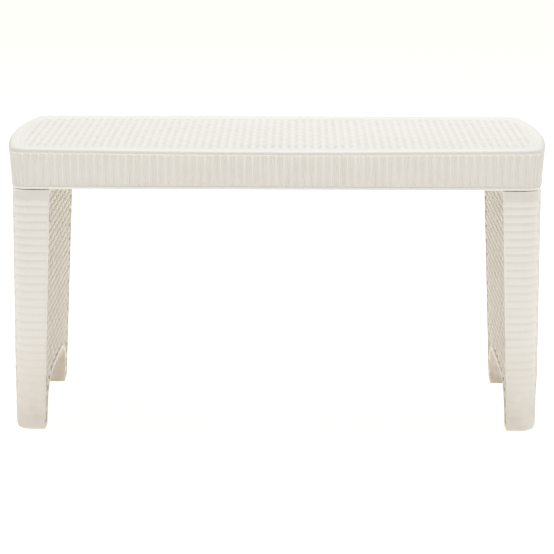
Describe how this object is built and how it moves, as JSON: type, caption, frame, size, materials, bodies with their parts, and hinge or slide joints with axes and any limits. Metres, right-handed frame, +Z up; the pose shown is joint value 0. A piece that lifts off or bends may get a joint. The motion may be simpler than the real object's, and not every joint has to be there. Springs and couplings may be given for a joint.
{
  "type": "garden bench",
  "caption": "Backless plastic garden bench with a woven-look ribbed seat, bowed ends, a deep skirt and two hollow arched end frames with tapered feet.",
  "frame": {"origin": "on the floor, under the middle of the seat", "axes": "+X along the bench towards its right-hand end, +Y towards the rear, +Z up"},
  "size_m": [0.856, 0.47, 0.45],
  "materials": {
    "seat_plastic": "ivory-white moulded polypropylene with a fine satin grain, ribbed like woven strands",
    "frame_plastic": "ivory-white moulded polypropylene with faint reeds and a satin grain",
    "cover_plastic": "ivory-white moulded polypropylene with a deep woven relief",
    "glide_plastic": "pale grey soft plastic, slightly scuffed",
    "zinc_steel": "zinc-plated steel"
  },
  "bodies": {
    "root": {"seat_moulding": "seat_plastic", "end_frame_left": "frame_plastic", "end_frame_right": "frame_plastic", "inner_cover_left": "cover_plastic", "inner_cover_right": "cover_plastic", "foot_glide_left_front": "glide_plastic", "foot_glide_left_rear": "glide_plastic", "foot_glide_right_front": "glide_plastic", "foot_glide_right_rear": "glide_plastic", "lock_washer_left_front": "zinc_steel", "lock_washer_left_rear": "zinc_steel", "lock_washer_right_front": "zinc_steel", "lock_washer_right_rear": "zinc_steel", "lock_screw_left_front": "zinc_steel", "lock_screw_left_rear": "zinc_steel", "lock_screw_right_front": "zinc_steel", "lock_screw_right_rear": "zinc_steel", "cover_screw_left_front_lower": "zinc_steel", "cover_screw_left_front_upper": "zinc_steel", "cover_screw_left_rear_lower": "zinc_steel", "cover_screw_left_rear_upper": "zinc_steel", "cover_screw_right_front_lower": "zinc_steel", "cover_screw_right_front_upper": "zinc_steel", "cover_screw_right_rear_lower": "zinc_steel", "cover_screw_right_rear_upper": "zinc_steel"}
  },
  "joints": []
}
